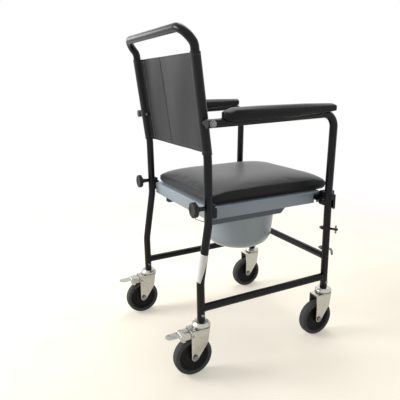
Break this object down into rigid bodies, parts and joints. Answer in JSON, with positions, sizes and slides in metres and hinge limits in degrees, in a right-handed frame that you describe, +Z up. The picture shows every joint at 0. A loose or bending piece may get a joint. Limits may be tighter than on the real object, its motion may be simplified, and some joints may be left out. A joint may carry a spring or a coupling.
{
  "type": "wheeled commode chair",
  "caption": "Wheeled commode chair with a tube frame, sling back, flip-up armrests, lift-off padded seat, slide-out pan and braked swivel casters.",
  "frame": {"origin": "centre of the bounding box on the floor, between the four tyres", "axes": "+Z up, -Y the way the sitter faces, +Y the push bar and the braked casters, -X the sitter's right"},
  "size_m": [0.593, 0.6384, 1.0345],
  "materials": {
    "black_paint": "gloss",
    "black_plastic": "satin",
    "black_vinyl": "satin",
    "board_plastic": "satin",
    "guide_plastic": "satin",
    "pan_plastic": "satin",
    "zinc": "satin",
    "tyre_rubber": "matte",
    "hub_plastic": "matte"
  },
  "bodies": {
    "frame": {"back_frame": "black_paint", "back_sling": "black_vinyl", "front_crossbar": "black_paint", "seat_frame": "black_paint", "seat_board": "board_plastic", "front_leg_right": "black_paint", "front_leg_left": "black_paint", "lower_side_rail_right": "black_paint", "lower_side_rail_left": "black_paint", "pan_guide_right": "guide_plastic", "pan_guide_left": "guide_plastic", "arm_pivot_bolt_right": "zinc", "arm_pivot_bolt_left": "zinc", "arm_spacer_right": "black_plastic", "arm_spacer_left": "black_plastic", "rear_clamp_right": "black_plastic", "rear_clamp_left": "black_plastic", "front_clamp_right": "black_plastic", "front_clamp_left": "black_plastic", "footrest_peg_right": "black_paint", "footrest_peg_left": "black_paint", "footrest_hook_right": "black_paint", "footrest_hook_left": "black_paint", "leg_bolt_rear_right": "zinc", "leg_bolt_rear_left": "zinc", "leg_bolt_front_right": "zinc", "leg_bolt_front_left": "zinc", "caster_cup_rear_right": "zinc", "caster_cup_rear_left": "zinc", "caster_cup_front_right": "zinc", "caster_cup_front_left": "zinc"},
    "cushion": {"seat_cushion": "black_vinyl"},
    "pan": {"pan": "pan_plastic"},
    "arm_right": {"arm_tube_right": "black_paint", "arm_pad_right": "black_vinyl"},
    "arm_left": {"arm_tube_left": "black_paint", "arm_pad_left": "black_vinyl"},
    "latch_right": {"arm_latch_right": "black_plastic"},
    "latch_left": {"arm_latch_left": "black_plastic"},
    "hand_wheel_right": {"hand_wheel_right": "black_plastic"},
    "hand_wheel_left": {"hand_wheel_left": "black_plastic"},
    "swivel_rear_right": {"caster_fork_rear_right": "zinc", "caster_axle_rear_right": "zinc"},
    "swivel_rear_left": {"caster_fork_rear_left": "zinc", "caster_axle_rear_left": "zinc"},
    "swivel_front_right": {"caster_fork_front_right": "zinc", "caster_axle_front_right": "zinc"},
    "swivel_front_left": {"caster_fork_front_left": "zinc", "caster_axle_front_left": "zinc"},
    "wheel_rear_right": {"caster_hub_rear_right": "hub_plastic", "caster_tyre_rear_right": "tyre_rubber"},
    "wheel_rear_left": {"caster_hub_rear_left": "hub_plastic", "caster_tyre_rear_left": "tyre_rubber"},
    "wheel_front_right": {"caster_hub_front_right": "hub_plastic", "caster_tyre_front_right": "tyre_rubber"},
    "wheel_front_left": {"caster_hub_front_left": "hub_plastic", "caster_tyre_front_left": "tyre_rubber"},
    "brake_rear_right": {"brake_pedal_rear_right": "zinc"},
    "brake_rear_left": {"brake_pedal_rear_left": "zinc"}
  },
  "joints": [
    {"name": "cushion_lift", "type": "slide", "parent": "frame", "child": "cushion", "axis": [0, 0, 1], "range_m": [0, 0.16]},
    {"name": "pan_slide", "type": "slide", "parent": "frame", "child": "pan", "axis": [0, 1, 0], "range_m": [0, 0.42]},
    {"name": "arm_hinge_right", "type": "hinge", "parent": "frame", "child": "arm_right", "pos_m": [-0.27, 0.18097, 0.7733], "axis": [-1, 0, 0], "range_deg": [0, 95]},
    {"name": "arm_hinge_left", "type": "hinge", "parent": "frame", "child": "arm_left", "pos_m": [0.27, 0.18097, 0.7733], "axis": [-1, 0, 0], "range_deg": [0, 95]},
    {"name": "latch_hinge_right", "type": "hinge", "parent": "arm_right", "child": "latch_right", "pos_m": [-0.27, -0.24875, 0.516], "axis": [-1, 0, 0], "range_deg": [0, 10]},
    {"name": "latch_hinge_left", "type": "hinge", "parent": "arm_left", "child": "latch_left", "pos_m": [0.27, -0.24875, 0.516], "axis": [-1, 0, 0], "range_deg": [0, 10]},
    {"name": "hand_wheel_axis_right", "type": "hinge", "parent": "frame", "child": "hand_wheel_right", "pos_m": [-0.228, 0.16925, 0.527], "axis": [0, 1, 0], "continuous": true},
    {"name": "hand_wheel_axis_left", "type": "hinge", "parent": "frame", "child": "hand_wheel_left", "pos_m": [0.228, 0.16925, 0.527], "axis": [0, 1, 0], "continuous": true},
    {"name": "swivel_rear_right", "type": "hinge", "parent": "frame", "child": "swivel_rear_right", "pos_m": [-0.228, 0.19925, 0.1526], "axis": [0, 0, 1], "continuous": true},
    {"name": "swivel_rear_left", "type": "hinge", "parent": "frame", "child": "swivel_rear_left", "pos_m": [0.228, 0.19925, 0.1526], "axis": [0, 0, 1], "continuous": true},
    {"name": "swivel_front_right", "type": "hinge", "parent": "frame", "child": "swivel_front_right", "pos_m": [-0.228, -0.28875, 0.1526], "axis": [0, 0, 1], "continuous": true},
    {"name": "swivel_front_left", "type": "hinge", "parent": "frame", "child": "swivel_front_left", "pos_m": [0.228, -0.28875, 0.1526], "axis": [0, 0, 1], "continuous": true},
    {"name": "wheel_axis_rear_right", "type": "hinge", "parent": "swivel_rear_right", "child": "wheel_rear_right", "pos_m": [-0.228, 0.23125, 0.0625], "axis": [1, 0, 0], "continuous": true},
    {"name": "wheel_axis_rear_left", "type": "hinge", "parent": "swivel_rear_left", "child": "wheel_rear_left", "pos_m": [0.228, 0.23125, 0.0625], "axis": [1, 0, 0], "continuous": true},
    {"name": "wheel_axis_front_right", "type": "hinge", "parent": "swivel_front_right", "child": "wheel_front_right", "pos_m": [-0.228, -0.25675, 0.0625], "axis": [1, 0, 0], "continuous": true},
    {"name": "wheel_axis_front_left", "type": "hinge", "parent": "swivel_front_left", "child": "wheel_front_left", "pos_m": [0.228, -0.25675, 0.0625], "axis": [1, 0, 0], "continuous": true},
    {"name": "brake_hinge_rear_right", "type": "hinge", "parent": "swivel_rear_right", "child": "brake_rear_right", "pos_m": [-0.228, 0.23645, 0.1348], "axis": [-1, 0, 0], "range_deg": [0, 7]},
    {"name": "brake_hinge_rear_left", "type": "hinge", "parent": "swivel_rear_left", "child": "brake_rear_left", "pos_m": [0.228, 0.23645, 0.1348], "axis": [-1, 0, 0], "range_deg": [0, 7]}
  ]
}
